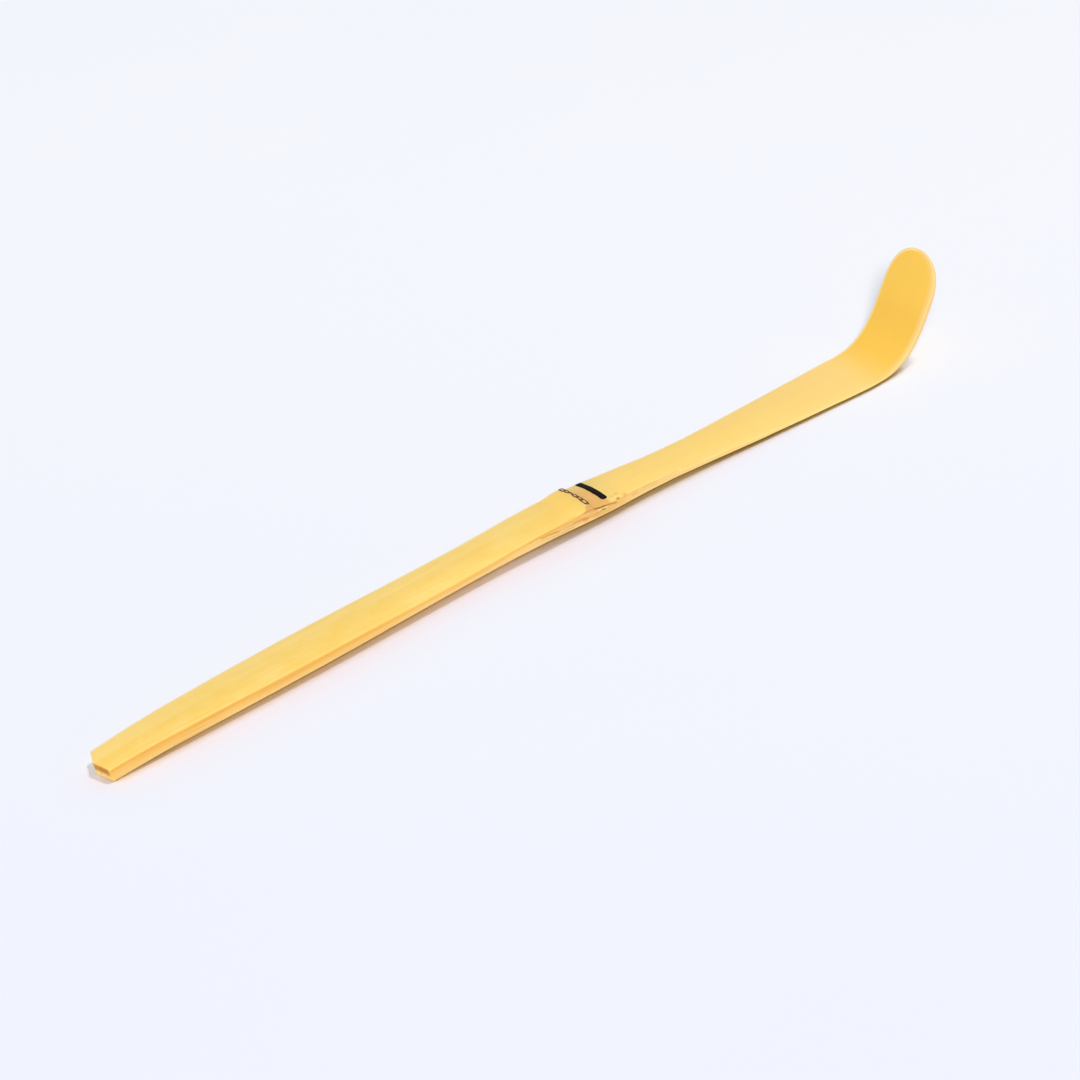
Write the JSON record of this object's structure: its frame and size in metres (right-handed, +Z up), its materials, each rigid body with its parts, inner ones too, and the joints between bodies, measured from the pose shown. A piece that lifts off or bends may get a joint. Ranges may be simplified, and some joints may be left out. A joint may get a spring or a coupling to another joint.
{
  "type": "chashaku tea scoop",
  "caption": "Slender scoop for powdered tea, carved from a split bamboo strip with its node mid-handle and its end steam-bent up into a narrow blade.",
  "frame": {"origin": "middle of the footprint on the table that the scoop lies on", "axes": "+X along the strip from the cut end to the scoop, +Y across it, +Z up from the table"},
  "size_m": [0.1712, 0.0104, 0.0182],
  "materials": {
    "bamboo": "smooth pale yellow culm skin with a faint lengthwise fibre, satin",
    "dry_sheath": "dry brown fibrous rim, matt",
    "black_lacquer": "satin black"
  },
  "bodies": {
    "root": {"bamboo_strip": "bamboo", "sheath_scar": "dry_sheath", "node_line": "black_lacquer"}
  },
  "joints": []
}
